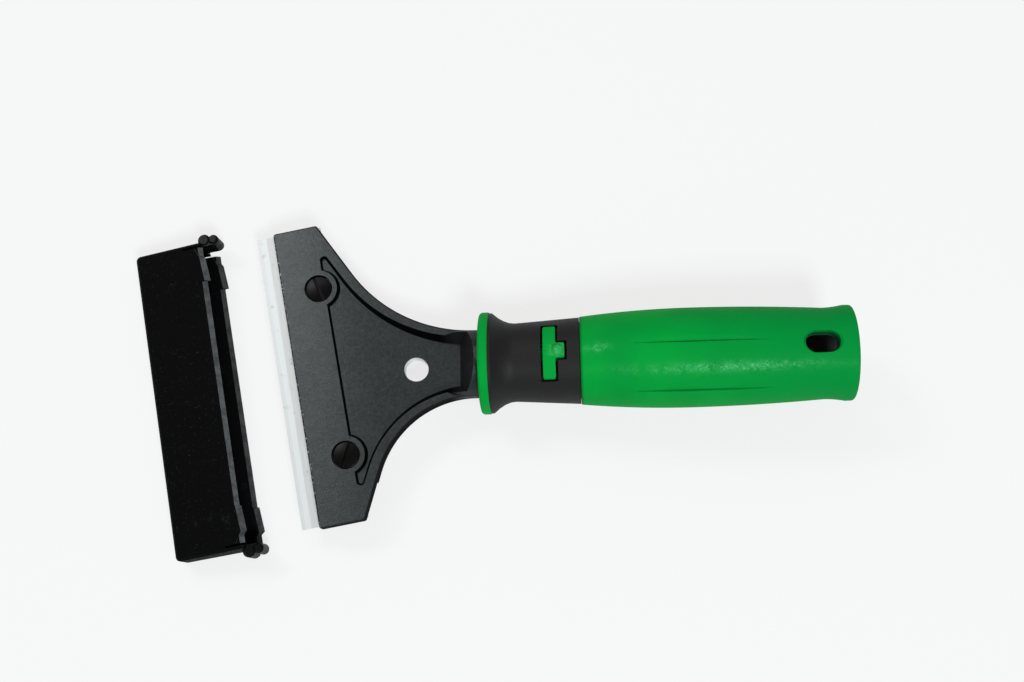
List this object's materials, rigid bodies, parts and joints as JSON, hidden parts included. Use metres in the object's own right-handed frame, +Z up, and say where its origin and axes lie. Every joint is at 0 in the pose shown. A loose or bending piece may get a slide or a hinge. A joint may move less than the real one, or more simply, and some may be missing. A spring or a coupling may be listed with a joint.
{
  "type": "blade scraper with pull-off cap",
  "caption": "Hob scraper with a 100 mm blade clamped in a black cast head, a green and black round handle and its blade cap pulled off.",
  "frame": {"origin": "centre of the whole part's footprint, on the table", "axes": "+X square to the blade, from the blade towards the handle; +Y along the blade; +Z up"},
  "size_m": [0.229, 0.1102, 0.0435],
  "materials": {
    "cast_black": "satin",
    "blade_steel": "fine ground",
    "plate_black": "satin",
    "screw_black": "semi-gloss",
    "handle_black": "fine texture",
    "grip_green": "satin",
    "cap_black": "coarse texture",
    "steel_wire": "bright"
  },
  "bodies": {
    "handle": {"handle_core": "handle_black", "guard_ring": "grip_green", "grip_sleeve": "grip_green", "head_casting": "cast_black", "latch_pin": "steel_wire", "latch_spring": "steel_wire"},
    "latch": {"head_latch": "grip_green"},
    "plate": {"clamp_plate": "plate_black"},
    "blade": {"blade": "blade_steel"},
    "left_screw": {"clamp_screw_left": "screw_black"},
    "right_screw": {"clamp_screw_right": "screw_black"},
    "cap": {"blade_cap": "cap_black"}
  },
  "joints": [
    {"name": "cap_push_on", "type": "slide", "parent": "blade", "child": "cap", "axis": [0.9954, 0, 0.0958], "range_m": [0, 0.0385]},
    {"name": "left_screw_turn", "type": "hinge", "parent": "handle", "child": "left_screw", "pos_m": [-0.05499, 0.0285, 0.01195], "axis": [-0.0958, 0, 0.9954], "range_deg": [0, 720]},
    {"name": "right_screw_turn", "type": "hinge", "parent": "handle", "child": "right_screw", "pos_m": [-0.05499, -0.0285, 0.01195], "axis": [-0.0958, 0, 0.9954], "range_deg": [0, 720]},
    {"name": "plate_loosen", "type": "slide", "parent": "handle", "child": "plate", "axis": [0.0958, 0, -0.9954], "range_m": [0, 0.0014]},
    {"name": "blade_draw_out", "type": "slide", "parent": "handle", "child": "blade", "axis": [-0.9954, 0, -0.0958], "range_m": [0, 0.016]},
    {"name": "latch_press", "type": "hinge", "parent": "handle", "child": "latch", "pos_m": [0.01534, -0.01066, 0.02614], "axis": [0.1774, 0.9827, -0.053], "range_deg": [0, 6], "stiffness_Nm_per_rad": 0.02, "springref_deg": -5.73, "deforming": ["latch_spring"]}
  ],
  "couplings": [
    {"joint": "left_screw_turn", "follows": "plate_loosen", "rad_per_m": 8975.9},
    {"joint": "right_screw_turn", "follows": "plate_loosen", "rad_per_m": 8975.9}
  ]
}
